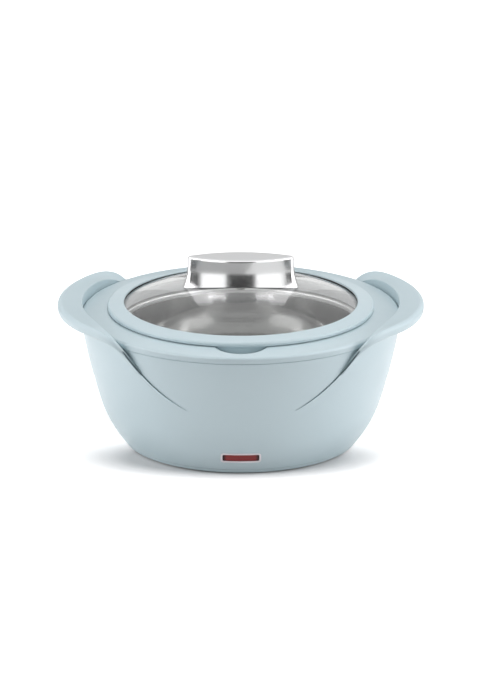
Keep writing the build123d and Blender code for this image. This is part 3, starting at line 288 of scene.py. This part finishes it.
# %% Pale blue plastic
BLUE_LIGHT = (0.498, 0.611, 0.644)
BLUE_DEEP = (0.474, 0.588, 0.622)
blue = Finish("pale_blue_plastic", BLUE_LIGHT, 0.34)
blue.paint(BLUE_LIGHT, BLUE_DEEP, blue.noise(14.0))
blue.gloss(blue.noise(60.0), 0.31, 0.38)
blue.bumps(blue.noise(900.0, 2.0), 0.06, 0.0002)
blue.shader.inputs["Specular IOR Level"].default_value = 0.62
dress(blue, "outer_shell", "rim_collar", "lid_ring", "base_cover")

# %% [markdown]
# ## Steel
# The bowl is spun steel. Spinning leaves rings round its axis, so the noise is stretched along the
# angle: it is fine across the radius and long round the turn. Fine rings drive the gloss, wider ones
# the relief, which makes the reflections waver as they do in thin sheet. The flange and the top of the
# wall are a satin finish, and their colour is painted much paler: a painted highlight that shows as a
# bright arc through the glass. Nuts, screws and washers are plain bright steel.

# %% Spun steel
# The band below is satin and also a painted highlight: its colour is painted far paler than the bowl.
RIM_BAND = 0.0050                    # height of the satin band under the flange's top
RIM_BLEND = 0.0020
BOWL_TONE = (0.45, 0.45, 0.445)
RIM_HIGHLIGHT_TONE = (0.82, 0.82, 0.815)
BOWL_GLOSS = (0.07, 0.13)
RIM_ROUGHNESS = 0.5
FINE_RINGS = (1.2, 900.0, 900.0)     # stretch along angle, radius and height
WIDE_RINGS = (0.8, 140.0, 140.0)

rim_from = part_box("steel_bowl")[1].z - RIM_BAND
steel = Finish("spun_steel", (0.45, 0.45, 0.44), 0.24, 1.0)
rings = steel.noise(1.0, 4.0, FINE_RINGS, steel.round_coords())
satin_and_highlight_rim = steel.spread(steel.height(), 0.0, 1.0, rim_from, rim_from + RIM_BLEND)
# Painted highlight: the satin band at the top is painted much paler than the rest of the bowl.
steel.paint(BOWL_TONE, RIM_HIGHLIGHT_TONE, satin_and_highlight_rim)
ring_gloss = steel.spread(rings, *BOWL_GLOSS)
steel.join(steel.between(ring_gloss, RIM_ROUGHNESS, satin_and_highlight_rim), steel.shader.inputs["Roughness"])
waves = steel.noise(1.0, 2.0, WIDE_RINGS, steel.round_coords())
steel.bumps(waves, 0.12, 0.0004)
dress(steel, "steel_bowl")

# %% Bright hardware
bright = Finish("bright_hardware", (0.62, 0.62, 0.61), 0.3, 1.0)
bright.paint((0.60, 0.60, 0.59), (0.70, 0.69, 0.67), bright.noise(400.0))
bright.gloss(bright.noise(900.0), 0.24, 0.38)
dress(bright, "base_screws", "clamp_nuts", "knob_screw", "steel_washer")

# %% [markdown]
# ## Chrome
# The knob is plated: its sides are a mirror with a little haze, its flat top is a satin face. The
# height of a point decides which of the two it is. The haze keeps reflections soft at their edges.

# %% Chrome
TOP_BAND = 0.0004                    # how far below the top the satin starts
TOP_BLEND = 0.0003
CHROME_SIDE = (0.85, 0.855, 0.86)
CHROME_TOP = (0.79, 0.795, 0.80)
CHROME_HAZE = (0.13, 0.18)
TOP_ROUGHNESS = 0.45

satin_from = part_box("knob_shell")[1].z - TOP_BAND
chrome = Finish("plated_knob", CHROME_SIDE, 0.15, 1.0)
top = chrome.spread(chrome.height(), 0.0, 1.0, satin_from - TOP_BLEND, satin_from)
haze = chrome.spread(chrome.noise(250.0), *CHROME_HAZE)
chrome.join(chrome.between(haze, TOP_ROUGHNESS, top), chrome.shader.inputs["Roughness"])
chrome.paint(CHROME_SIDE, CHROME_TOP, top)
dress(chrome, "knob_shell")

# %% [markdown]
# ## Glass
# The dome is thick clear glass with a faint grey-green body colour. Lamps have to shine through it
# into the bowl, so it throws no shadow.

# %% Glass
glass = Finish("clear_glass", (0.97, 0.985, 0.98), 0.0)
glass.shader.inputs["Transmission Weight"].default_value = 1.0
glass.shader.inputs["IOR"].default_value = 1.48
glass.gloss(glass.noise(30.0), 0.0, 0.012)
dress(glass, "lid_glass")
nodes["lid_glass"].visible_shadow = False

# %% [markdown]
# ## Small finishes
# The indicator is a deep red window whose ends are painted darker, a painted shade of the recess it
# sits in. Rubber is dark and dull, the inner plastic is grey, and the electric pieces under the bowl have
# the colours that such pieces usually have.

# %% Red window
# The window's dark ends are painted shade: they stand for the walls of its recess shading the lens.
RED_MIDDLE = (0.25, 0.033, 0.032)
RED_END_SHADE = (0.03, 0.006, 0.008)
END_SHADE_BAND = (0.0120, 0.0145)          # distance from the middle where the window turns dark

red = Finish("red_window", (0.16, 0.012, 0.014), 0.16)
red.shader.inputs["Specular IOR Level"].default_value = 0.15
across = red.node("ShaderNodeSeparateXYZ")
red.join(red.coords, across.inputs[0])
from_center = red.node("ShaderNodeMath", operation="ABSOLUTE")
red.join(across.outputs["X"], from_center.inputs[0])
# Painted shade: the ends of the window are painted darker where the recess walls shade it.
painted_end_shade = red.spread(from_center.outputs[0], 0.0, 1.0, *END_SHADE_BAND)
red.paint(RED_MIDDLE, RED_END_SHADE, painted_end_shade)
red.gloss(red.noise(500.0), 0.12, 0.2)
dress(red, "indicator_lens")

# %% Rubber, grey plastic and black plastic


def dull(name, first, second, low, high, scale, *wearers):
    """A plain moulded finish: two close tones, uneven gloss and a fine grain."""
    made = Finish(name, first, high)
    made.paint(first, second, made.noise(scale))
    made.gloss(made.noise(scale * 2.0), low, high)
    made.bumps(made.noise(scale * 20.0, 2.0), 0.12, 0.0002)
    dress(made, *wearers)
    return made


dull("grey_rubber", (0.055, 0.058, 0.06), (0.075, 0.078, 0.08), 0.5, 0.65, 60.0,
     "glass_gasket", "lid_seal", "bowl_gasket", "soft_washer")
foot_rubber = dull("foot_rubber", (0.018, 0.018, 0.019), (0.028, 0.028, 0.03), 0.6, 0.75, 80.0,
                   "foot_front_left", "foot_front_right", "foot_rear_left", "foot_rear_right")
dull("pale_inner_ring", (0.44, 0.455, 0.465), (0.48, 0.495, 0.505), 0.35, 0.45, 40.0, "lid_retainer")
dull("pale_bezel", (0.78, 0.74, 0.77), (0.84, 0.80, 0.83), 0.3, 0.4, 50.0, "lens_bezel")
dull("black_plastic", (0.012, 0.012, 0.013), (0.02, 0.02, 0.021), 0.4, 0.5, 70.0,
     "power_inlet", "knob_insert", "lamp_holder", "thermostat")
dull("mica_sheet", (0.42, 0.36, 0.25), (0.52, 0.46, 0.34), 0.45, 0.6, 30.0, "heater_disc")
dull("fibre_blanket", (0.70, 0.69, 0.66), (0.80, 0.79, 0.76), 0.85, 0.95, 120.0, "insulation_jacket")
dull("red_insulation", (0.36, 0.03, 0.03), (0.42, 0.04, 0.035), 0.4, 0.5, 90.0,
     "live_wire", "fuse_link", "heater_link")
dull("blue_insulation", (0.03, 0.09, 0.32), (0.04, 0.11, 0.38), 0.4, 0.5, 90.0, "neutral_wire", "lamp_leads")

# %% Clamp, contacts and lamp
clamp = Finish("zinc_plate", (0.50, 0.50, 0.48), 0.4, 1.0)
clamp.paint((0.44, 0.44, 0.42), (0.56, 0.56, 0.53), clamp.noise(70.0, 6.0))
clamp.gloss(clamp.noise(70.0, 6.0), 0.34, 0.5)
dress(clamp, "heater_clamp", "thermal_fuse")
brass = Finish("contact_brass", (0.72, 0.53, 0.24), 0.28, 1.0)
brass.paint((0.70, 0.51, 0.22), (0.78, 0.60, 0.30), brass.noise(300.0))
brass.gloss(brass.noise(500.0), 0.22, 0.34)
dress(brass, "inlet_pins")
neon = Finish("lamp_glass", (0.85, 0.62, 0.5), 0.1)
neon.paint((0.80, 0.52, 0.40), (0.88, 0.70, 0.58), neon.noise(200.0))
neon.gloss(neon.noise(300.0), 0.06, 0.14)
dress(neon, "indicator_lamp")

# %% [markdown]
# ## Screws
# Turned over, the casserole shows four screws in its base, and one more holds the knob from inside the
# lid. In the CAD model they are plain cylinders. A real one has a rounded head with a cross recess and
# a pointed tip. It could be turned from a profile, but a cylinder is as quick: its upper face is inset
# and pulled up as the shank, a bevel rounds the head, and two crossed bars cut the recess.

# %% Helpers for modelling
SMOOTH_BELOW = math.radians(35.0)
ROUND_ABOVE = math.radians(60.0)     # edges this sharp are bevelled


def only(piece):
    """Selects one object and nothing else."""
    bpy.ops.object.select_all(action="DESELECT")
    piece.select_set(True)
    bpy.context.view_layer.objects.active = piece


def settled(name):
    """Names the new object and moves its place and turn into its mesh."""
    piece = bpy.context.object
    piece.name = name
    bpy.ops.object.transform_apply(location=True, rotation=True, scale=True)
    return piece


def pick(piece, wanted):
    """Opens a piece for editing, with the faces selected whose middle and normal are wanted."""
    bpy.ops.object.mode_set(mode="EDIT")
    bpy.ops.mesh.select_mode(type="FACE")
    bpy.ops.mesh.select_all(action="DESELECT")
    bpy.ops.object.mode_set(mode="OBJECT")
    for face in piece.data.polygons:
        face.select = wanted(face.center, face.normal)
    bpy.ops.object.mode_set(mode="EDIT")


def pull(height):
    """Extrudes the selected faces along Z."""
    bpy.ops.mesh.extrude_region_move(TRANSFORM_OT_translate={"value": (0.0, 0.0, height)})


def modified(piece, kind, **settings):
    """Adds a modifier to a piece and applies it."""
    only(piece)
    bpy.ops.object.modifier_add(type=kind)
    modifier = piece.modifiers[-1]
    for key, value in settings.items():
        setattr(modifier, key, value)
    bpy.ops.object.modifier_apply(modifier=modifier.name)


def rounded(piece, width, steps):
    """Bevels a piece's sharp edges."""
    modified(piece, "BEVEL", width=width, segments=steps, limit_method="ANGLE", angle_limit=ROUND_ABOVE)


def finished(piece, body, finish, node):
    """Smooths a piece, gives it its finish and puts it in the place of a CAD node."""
    only(piece)
    bpy.ops.object.shade_smooth_by_angle(angle=SMOOTH_BELOW)
    piece.data.materials.clear()
    piece.data.materials.append(finish.material)
    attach(piece, body)
    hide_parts(node)
    print(piece.name, "with", len(piece.data.polygons), "faces stands for", node)


# %% Cross-head screw
SCREW_SIDES = 48
RECESS_LENGTH = 1.15     # of the head's radius
RECESS_WIDTH = 0.26
POINT_LENGTH = 0.0022
POINT_WIDTH = 0.3        # of the shank
HEAD_STEPS = 4


def cross_screw(name, place, low, tip, head, shank, rounding):
    """Screw that points up: head is its radius and height, rounding that of the head's edge."""
    x, y = place
    radius, height = head
    bpy.ops.object.select_all(action="DESELECT")
    bpy.ops.mesh.primitive_cylinder_add(vertices=SCREW_SIDES, radius=radius, depth=height,
                                        location=(x, y, low + height / 2.0))
    screw = settled(name)
    pick(screw, lambda middle, normal: normal.z > 0.9)
    bpy.ops.mesh.inset(thickness=radius - shank)
    pull(tip - low - height - POINT_LENGTH)
    pull(POINT_LENGTH)
    bpy.ops.transform.resize(value=(POINT_WIDTH, POINT_WIDTH, 1.0), center_override=(x, y, tip))
    bpy.ops.object.mode_set(mode="OBJECT")
    rounded(screw, rounding, HEAD_STEPS)
    for turn in (0.0, 90.0):
        bpy.ops.object.select_all(action="DESELECT")
        bpy.ops.mesh.primitive_cube_add(size=1.0, location=(x, y, low),
                                        rotation=(0.0, 0.0, math.radians(turn)))
        bpy.context.object.scale = (RECESS_LENGTH * radius, RECESS_WIDTH * radius, height)
        bar = settled("recess_bar")
        modified(screw, "BOOLEAN", object=bar, operation="DIFFERENCE", solver="EXACT")
        bpy.data.objects.remove(bar)
    return screw


# %% Base screws and knob screw
BASE_HEAD = (0.0036, 0.0013)
BASE_SHANK = 0.00175
BASE_ROUNDING = 0.0003
KNOB_HEAD = (0.0040, 0.0024)
KNOB_SHANK = 0.0020
KNOB_ROUNDING = 0.0006

low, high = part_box("base_screws")
far_x = high.x - BASE_HEAD[0]
far_y = high.y - BASE_HEAD[0]
first = cross_screw("base_screw_1", (far_x, far_y), low.z, high.z, BASE_HEAD, BASE_SHANK, BASE_ROUNDING)
screws = [first]
for shift in ((-2.0 * far_x, 0.0, 0.0), (0.0, -2.0 * far_y, 0.0), (-2.0 * far_x, -2.0 * far_y, 0.0)):
    only(first)
    bpy.ops.object.duplicate()
    bpy.context.object.location = shift
    screws.append(settled(f"base_screw_{len(screws) + 1}"))
for screw in screws:
    finished(screw, "base", bright, "base_screws")
low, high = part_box("knob_screw")
knob_screw = cross_screw("knob_cross_screw", (0.0, 0.0), low.z, high.z, KNOB_HEAD, KNOB_SHANK, KNOB_ROUNDING)
finished(knob_screw, "lid", bright, "knob_screw")

# %% [markdown]
# ## Feet
# Each foot is a rubber button with a barbed stem that snaps into the base. Two round grooves in its
# sole keep it from sticking to a wet worktop. The sole's face is inset ring by ring, and every second
# ring is pushed up into the rubber. One foot is modelled, the other three are copies of it.

# %% Rubber feet
FOOT_SIDES = 64
SOLE_HEIGHT = 0.0024
RING_WIDTHS = (0.0014, 0.0012, 0.0016, 0.0012)     # from the edge inward: land, groove, land, groove
GROOVE_DEPTH = 0.0007
STEM_RADIUS = 0.0023
STEM_SHARE, STEP_SHARE, BARB_SHARE = 0.65, 0.05, 0.30     # of the height above the sole
BARB_WIDTH = 1.4                                          # of the stem
TIP_WIDTH = 0.65                                          # of the barb
FOOT_ROUNDING = 0.00025
FOOT_STEPS = 3

low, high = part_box("foot_front_left")
stem_height = high.z - SOLE_HEIGHT
middle_x = (low.x + high.x) / 2.0
middle_y = (low.y + high.y) / 2.0
sole_radius = (high.x - low.x) / 2.0
bpy.ops.object.select_all(action="DESELECT")
bpy.ops.mesh.primitive_cylinder_add(vertices=FOOT_SIDES, radius=sole_radius, depth=SOLE_HEIGHT,
                                    location=(middle_x, middle_y, SOLE_HEIGHT / 2.0))
foot = settled("foot_pad_front_left")
pick(foot, lambda middle, normal: normal.z > 0.9)
bpy.ops.mesh.inset(thickness=sole_radius - STEM_RADIUS)
stem_middle = (middle_x, middle_y, high.z)
pull(stem_height * STEM_SHARE)
pull(stem_height * STEP_SHARE)
bpy.ops.transform.resize(value=(BARB_WIDTH, BARB_WIDTH, 1.0), center_override=stem_middle)
pull(stem_height * BARB_SHARE)
bpy.ops.transform.resize(value=(TIP_WIDTH, TIP_WIDTH, 1.0), center_override=stem_middle)
pick(foot, lambda middle, normal: normal.z < -0.9)
for width in RING_WIDTHS:
    bpy.ops.mesh.inset(thickness=width)
for number in (1, 3):
    inner = sole_radius - sum(RING_WIDTHS[:number + 1])
    outer = inner + RING_WIDTHS[number]
    pick(foot, lambda middle, normal: normal.z < -0.9 and
         inner < math.hypot(middle.x - middle_x, middle.y - middle_y) < outer)
    pull(GROOVE_DEPTH)
bpy.ops.object.mode_set(mode="OBJECT")
rounded(foot, FOOT_ROUNDING, FOOT_STEPS)
print("foot with", len(foot.data.polygons), "faces")

# %% Copies of the foot
feet = {"foot_front_left": foot}
for node in ("foot_front_right", "foot_rear_left", "foot_rear_right"):
    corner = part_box(node)[0]
    only(foot)
    bpy.ops.object.duplicate()
    bpy.context.object.location = (corner.x - low.x, corner.y - low.y, 0.0)
    feet[node] = settled(node.replace("foot", "foot_pad"))
for node, piece in feet.items():
    finished(piece, "base", foot_rubber, node)

# %% [markdown]
# ## Floor
# The casserole stands on a plain pale floor that runs out of the picture. The floor takes the soft
# shadow under the base. Where it is seen, light is added to it outside a flat oval in front of the
# base, so that it is as white there as the surround and the shadow keeps the photograph's shape.

# %% Floor
FLOOR_SIZE = 30.0
FLOOR_TONES = ((0.73, 0.73, 0.73), (0.75, 0.75, 0.75))
FLOOR_LIFT = (0.0, 0.62)     # inside the shadow's oval and outside it
LIFT_REACH = (0.66, 0.98)    # of the oval's radii
# The oval is a painted shadow: outside it light is added, inside it the floor keeps only the lamps' real
# shadow, so the shade takes the oval's shape.
PAINTED_SHADOW_MIDDLE = (-0.006, -0.056, 0.0)
PAINTED_SHADOW_RADII = (0.134, 0.060, 1.0)
bpy.ops.object.select_all(action="DESELECT")
bpy.ops.mesh.primitive_plane_add(size=FLOOR_SIZE, location=(0.0, 0.0, 0.0))
floor = bpy.context.object
floor.name = "floor"
pale = Finish("pale_floor", (0.74, 0.74, 0.74), 0.9)
pale.shader.inputs["Specular IOR Level"].default_value = 0.0
pale.paint(*FLOOR_TONES, pale.noise(3.0))
offset = pale.node("ShaderNodeVectorMath", operation="SUBTRACT")
pale.join(pale.coords, offset.inputs[0])
offset.inputs[1].default_value = PAINTED_SHADOW_MIDDLE
painted_shadow_oval = pale.node("ShaderNodeVectorMath", operation="DIVIDE")
pale.join(offset.outputs["Vector"], painted_shadow_oval.inputs[0])
painted_shadow_oval.inputs[1].default_value = PAINTED_SHADOW_RADII
from_middle = pale.node("ShaderNodeVectorMath", operation="LENGTH")
pale.join(painted_shadow_oval.outputs["Vector"], from_middle.inputs[0])
outward = pale.spread(from_middle.outputs["Value"], *FLOOR_LIFT, *LIFT_REACH)
lift = pale.node("ShaderNodeMath", operation="MULTIPLY")
pale.join(outward, lift.inputs[0])
pale.join(seen_rays(pale.tree), lift.inputs[1])
pale.shader.inputs["Emission Color"].default_value = WHITE
pale.join(lift.outputs[0], pale.shader.inputs["Emission Strength"])
floor.data.materials.append(pale.material)
print("floor:", floor.name)

# %% [markdown]
# ## Cards for the mirrors
# Chrome only looks like chrome when it has something to reflect. A photographer stands cards round
# it. Here they are planes with an even tone that only mirrors see: a dark gap in front between two lit
# papers, dark strips at the corners, a narrow dark card between two soft ones behind, and cloths and
# dark runners on the floor.

# %% Tones of the cards
CARD_TONES = {"dark": 0.05, "grey": 0.43, "soft": 0.60, "pale": 0.80, "lit": 1.3}
CARD_DRIFT = 0.03                  # of the tone


def card_finish(name, glow):
    """Even tone of its own light, whatever the lamps do."""
    made = Finish(name, (0.0, 0.0, 0.0), 1.0)
    made.shader.inputs["Specular IOR Level"].default_value = 0.0
    made.shader.inputs["Emission Color"].default_value = WHITE
    drift = made.spread(made.noise(2.0), glow * (1.0 - CARD_DRIFT), glow * (1.0 + CARD_DRIFT))
    made.join(drift, made.shader.inputs["Emission Strength"])
    return made.material


card_finishes = {tone: card_finish(f"{tone}_card", glow) for tone, glow in CARD_TONES.items()}


def lay_card(name, place, turn, size, tone):
    """Plane of a width and a length that only mirrors see."""
    bpy.ops.object.select_all(action="DESELECT")
    bpy.ops.mesh.primitive_plane_add(size=1.0, location=place, rotation=turn)
    card = bpy.context.object
    card.name = name
    card.scale = (*size, 1.0)
    card.data.materials.append(card_finishes[tone])
    for kind in ("camera", "diffuse", "transmission", "shadow"):
        setattr(card, f"visible_{kind}", False)


print("card tones:", CARD_TONES)

# %% Standing cards
CARD_DISTANCE = 2.6
CARDS = {                          # heading and half width (degrees), height (metres) and tone
    "dark_card": (0.0, 15.0, 2.0, "dark"),
    "lit_card_left": (-29.0, 14.0, 1.5, "lit"),
    "lit_card_right": (29.0, 14.0, 1.5, "lit"),
    "dark_strip_left": (-49.0, 7.0, 1.2, "dark"),
    "dark_strip_right": (51.5, 5.0, 1.2, "dark"),
    "dark_card_back": (180.0, 5.0, 1.2, "dark"),
    "soft_card_back_left": (-146.0, 24.0, 2.4, "soft"),
    "soft_card_back_right": (146.0, 24.0, 2.4, "soft"),
}

for name, (turn, half_angle, height, tone) in CARDS.items():
    heading = math.radians(turn)
    place = (CARD_DISTANCE * math.sin(heading), -CARD_DISTANCE * math.cos(heading), height / 2.0)
    width = 2.0 * CARD_DISTANCE * math.tan(math.radians(half_angle))
    lay_card(name, place, (math.radians(90.0), 0.0, heading), (width, height), tone)
print("cards:", list(CARDS))

# %% Cloths and runners on the floor
CLOTH_LEVEL = 0.002
CLOTHS = {                         # two corners of each cloth and its tone
    "grey_cloth": ((-2.0, -2.5), (0.12, -0.33), "grey"),
    "pale_cloth": ((0.12, -2.5), (2.0, -0.33), "pale"),
    "grey_cloth_back": ((-2.0, 0.33), (2.0, 2.5), "grey"),
}
RUNNER_LEVEL = 0.004
RUNNER_SIZE = (0.08, 1.1)
RUNNER_DISTANCE = 0.9              # to its middle
RUNNERS = {"dark_runner_left": -51.0, "dark_runner_right": 51.0}     # heading in degrees

for name, ((left, front), (right, back), tone) in CLOTHS.items():
    place = ((left + right) / 2.0, (front + back) / 2.0, CLOTH_LEVEL)
    lay_card(name, place, (0.0, 0.0, 0.0), (right - left, back - front), tone)
for name, turn in RUNNERS.items():
    heading = math.radians(turn)
    place = (RUNNER_DISTANCE * math.sin(heading), -RUNNER_DISTANCE * math.cos(heading), RUNNER_LEVEL)
    lay_card(name, place, (0.0, 0.0, heading), RUNNER_SIZE, "dark")
print("on the floor:", [*CLOTHS, *RUNNERS])
